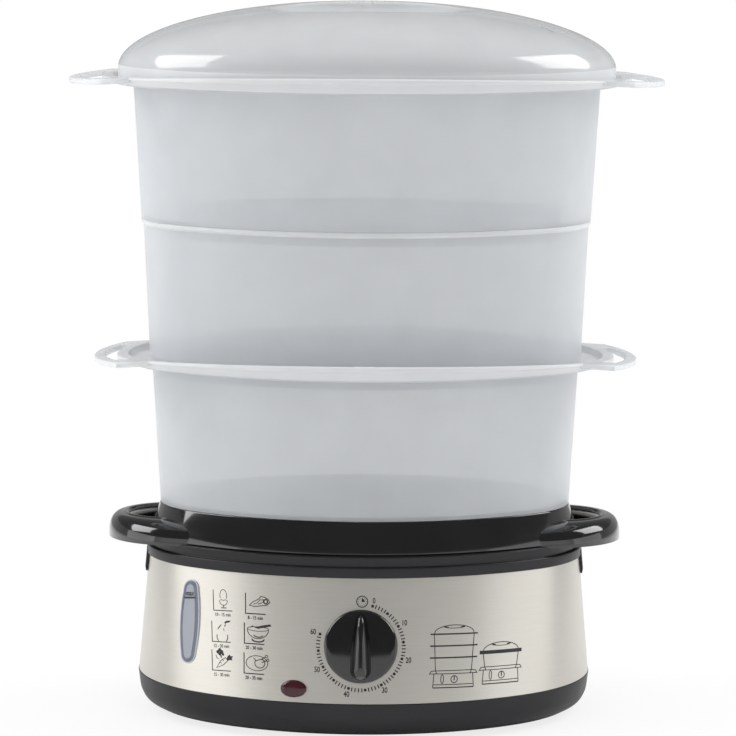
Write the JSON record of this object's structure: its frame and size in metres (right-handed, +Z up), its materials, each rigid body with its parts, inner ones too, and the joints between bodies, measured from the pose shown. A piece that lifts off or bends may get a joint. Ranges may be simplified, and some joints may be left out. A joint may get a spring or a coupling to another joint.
{
  "type": "electric food steamer",
  "caption": "Oval electric food steamer: steel base with timer knob, black drip tray, stacked translucent baskets with lift-out floors, domed lid.",
  "frame": {"origin": "centre of the oval plan, on the table under the feet", "axes": "+Z up through the stack, -Y towards the control panel, +X to the right seen from the panel side"},
  "size_m": [0.3334, 0.2282, 0.402],
  "materials": {
    "black_moulding": "satin charcoal moulding",
    "brushed_steel": "horizontally brushed",
    "tray_black": "polished black",
    "basket_clear": "translucent, slightly frosted",
    "lid_clear": "translucent, polished",
    "floor_grid": "translucent, satin",
    "ring_white": "satin",
    "knob_black": "polished black",
    "lens_red": "clear red",
    "window_clear": "clear, smoky blue",
    "rubber_black": "matt",
    "silicone_grey": "matt",
    "heater_alloy": "coated cast plate",
    "tube_steel": "drawn sheath",
    "zinc_steel": "zinc plated",
    "bulb_glass": "clear",
    "bell_steel": "bright",
    "insulator_white": "matt"
  },
  "bodies": {
    "base": {"plinth": "black_moulding", "base_screws": "zinc_steel", "steel_band": "brushed_steel", "tank_body": "black_moulding", "heater_plate": "heater_alloy", "heater_seal": "silicone_grey", "heating_tube": "tube_steel", "thermostat": "insulator_white", "heater_bracket": "zinc_steel", "heater_screws": "zinc_steel", "thermal_fuse": "insulator_white", "timer_body": "black_moulding", "timer_bell": "bell_steel", "timer_screws": "zinc_steel", "pilot_lens": "lens_red", "pilot_lamp": "bulb_glass", "level_window": "window_clear", "window_gasket": "rubber_black", "level_hose": "silicone_grey", "cord_bush": "rubber_black", "terminal_block": "insulator_white", "foot_front_left": "rubber_black", "foot_front_right": "rubber_black", "foot_rear_left": "rubber_black", "foot_rear_right": "rubber_black"},
    "timer_knob": {"timer_knob": "knob_black", "timer_shaft": "zinc_steel"},
    "steam_ring": {"steam_ring": "ring_white"},
    "drip_tray": {"drip_tray": "tray_black", "handle_left": "tray_black", "handle_right": "tray_black"},
    "basket_lower": {"basket_lower": "basket_clear"},
    "basket_middle": {"basket_middle": "basket_clear"},
    "basket_upper": {"basket_upper": "basket_clear"},
    "floor_lower": {"floor_lower": "floor_grid"},
    "floor_middle": {"floor_middle": "floor_grid"},
    "floor_upper": {"floor_upper": "floor_grid"},
    "lid": {"lid": "lid_clear"}
  },
  "joints": [
    {"name": "timer_turn", "type": "hinge", "parent": "base", "child": "timer_knob", "pos_m": [-0.0015, -0.09597, 0.052], "axis": [0.0092, 0.9576, -0.288], "range_deg": [0, 287]},
    {"name": "steam_ring_lift", "type": "slide", "parent": "base", "child": "steam_ring", "axis": [0, 0, 1], "range_m": [0, 0.015]},
    {"name": "drip_tray_lift", "type": "slide", "parent": "base", "child": "drip_tray", "axis": [0, 0, 1], "range_m": [0, 0.08]},
    {"name": "basket_lower_lift", "type": "slide", "parent": "drip_tray", "child": "basket_lower", "axis": [0, 0, 1], "range_m": [0, 0.08]},
    {"name": "floor_lower_lift", "type": "slide", "parent": "basket_lower", "child": "floor_lower", "axis": [0, 0, 1], "range_m": [0, 0.05]},
    {"name": "basket_middle_lift", "type": "slide", "parent": "basket_lower", "child": "basket_middle", "axis": [0, 0, 1], "range_m": [0, 0.08]},
    {"name": "floor_middle_lift", "type": "slide", "parent": "basket_middle", "child": "floor_middle", "axis": [0, 0, 1], "range_m": [0, 0.05]},
    {"name": "basket_upper_lift", "type": "slide", "parent": "basket_middle", "child": "basket_upper", "axis": [0, 0, 1], "range_m": [0, 0.08]},
    {"name": "floor_upper_lift", "type": "slide", "parent": "basket_upper", "child": "floor_upper", "axis": [0, 0, 1], "range_m": [0, 0.05]},
    {"name": "lid_lift", "type": "slide", "parent": "basket_upper", "child": "lid", "axis": [0, 0, 1], "range_m": [0, 0.08]}
  ]
}
